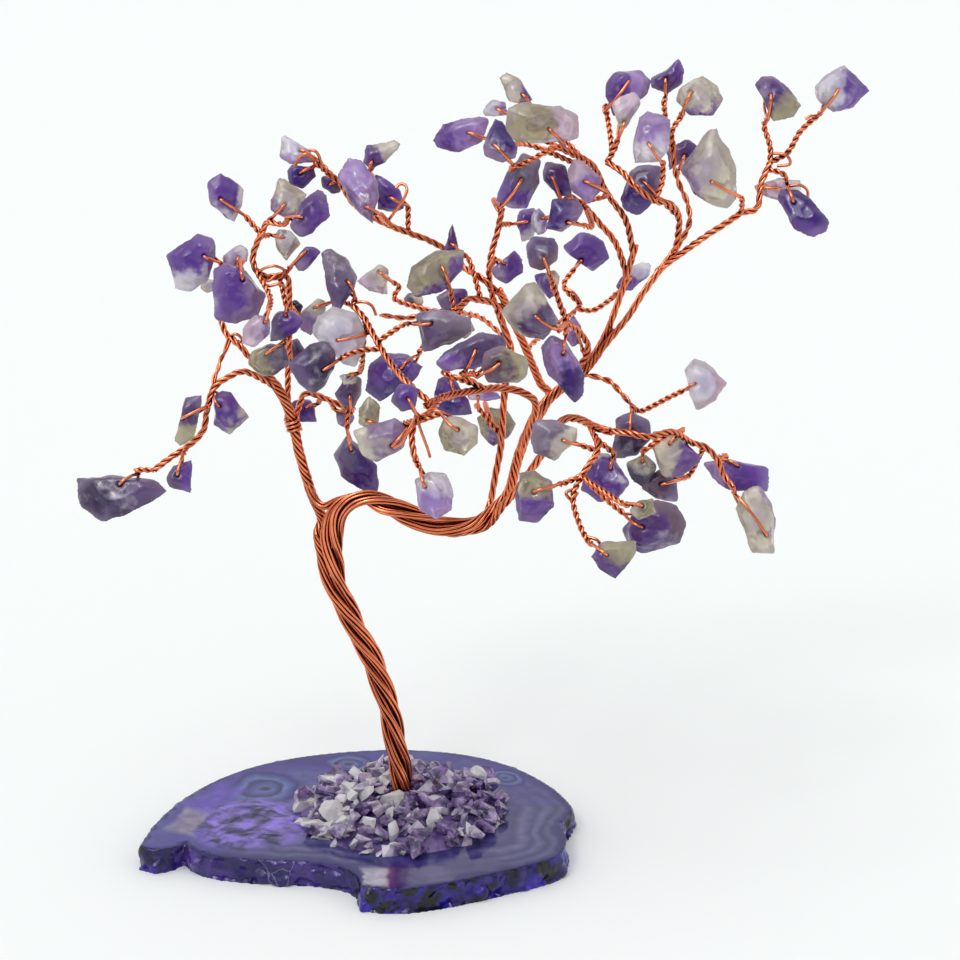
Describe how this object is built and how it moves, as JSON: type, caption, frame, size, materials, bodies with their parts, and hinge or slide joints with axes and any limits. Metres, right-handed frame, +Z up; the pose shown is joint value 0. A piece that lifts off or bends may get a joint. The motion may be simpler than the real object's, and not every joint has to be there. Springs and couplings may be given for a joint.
{
  "type": "gemstone tree ornament",
  "caption": "Table ornament: a tree of twisted copper wire whose twigs end in drilled amethyst chips, rooted in stone gravel on a dyed agate slice.",
  "frame": {"origin": "on the slice's underside, straight below the trunk's foot", "axes": "+Z up along the trunk's foot, +X to the right as seen from the front, +Y towards the back"},
  "size_m": [0.1478, 0.0799, 0.1535],
  "materials": {
    "copper_wire": "bare drawn copper, bright with darker creases",
    "agate": "sawn and polished dyed agate with a rough rind",
    "clear_glue": "clear cured adhesive",
    "amethyst_deep": "tumbled deep violet amethyst",
    "amethyst_pale": "tumbled pale amethyst, milky to lilac",
    "amethyst_smoky": "tumbled smoky amethyst with olive matrix",
    "quartz_clear": "clear quartz shards"
  },
  "bodies": {
    "root": {"agate_slice": "agate", "back_left_chips": "amethyst_pale", "back_left_wires": "copper_wire", "back_right_chips": "amethyst_deep", "back_right_wires": "copper_wire", "centre_high_chips": "amethyst_smoky", "centre_high_wires": "copper_wire", "centre_left_chips": "amethyst_smoky", "centre_left_wires": "copper_wire", "centre_limb": "copper_wire", "crown_rope_left": "copper_wire", "crown_rope_right": "copper_wire", "far_right_chips": "amethyst_pale", "far_right_wires": "copper_wire", "front_left_chips": "amethyst_deep", "front_left_wires": "copper_wire", "front_limb": "copper_wire", "front_low_chips": "amethyst_deep", "front_low_wires": "copper_wire", "glue_bed": "clear_glue", "gravel_clear": "quartz_clear", "gravel_pale": "amethyst_pale", "gravel_violet": "amethyst_deep", "heart_chips": "amethyst_deep", "heart_wires": "copper_wire", "left_heart_chips": "amethyst_deep", "left_heart_wires": "copper_wire", "left_limb": "copper_wire", "left_low_chips": "amethyst_smoky", "left_low_wires": "copper_wire", "left_outer_chips": "amethyst_pale", "left_outer_wires": "copper_wire", "low_front_chips": "amethyst_deep", "low_front_wires": "copper_wire", "low_left_chips": "amethyst_smoky", "low_left_wires": "copper_wire", "low_right_chips": "amethyst_smoky", "low_right_limb": "copper_wire", "low_right_wires": "copper_wire", "mid_left_chips": "amethyst_deep", "mid_left_wires": "copper_wire", "right_limb": "copper_wire", "right_mid_chips": "amethyst_pale", "right_mid_wires": "copper_wire", "root_wires": "copper_wire", "top_bridge_chips": "amethyst_pale", "top_bridge_wires": "copper_wire", "top_centre_chips": "amethyst_pale", "top_centre_wires": "copper_wire", "top_heart_chips": "amethyst_deep", "top_heart_wires": "copper_wire", "top_right_chips": "amethyst_deep", "top_right_wires": "copper_wire", "trunk_core": "copper_wire", "trunk_strands": "copper_wire", "upper_left_chips": "amethyst_deep", "upper_left_wires": "copper_wire", "upright_limb": "copper_wire"}
  },
  "joints": []
}
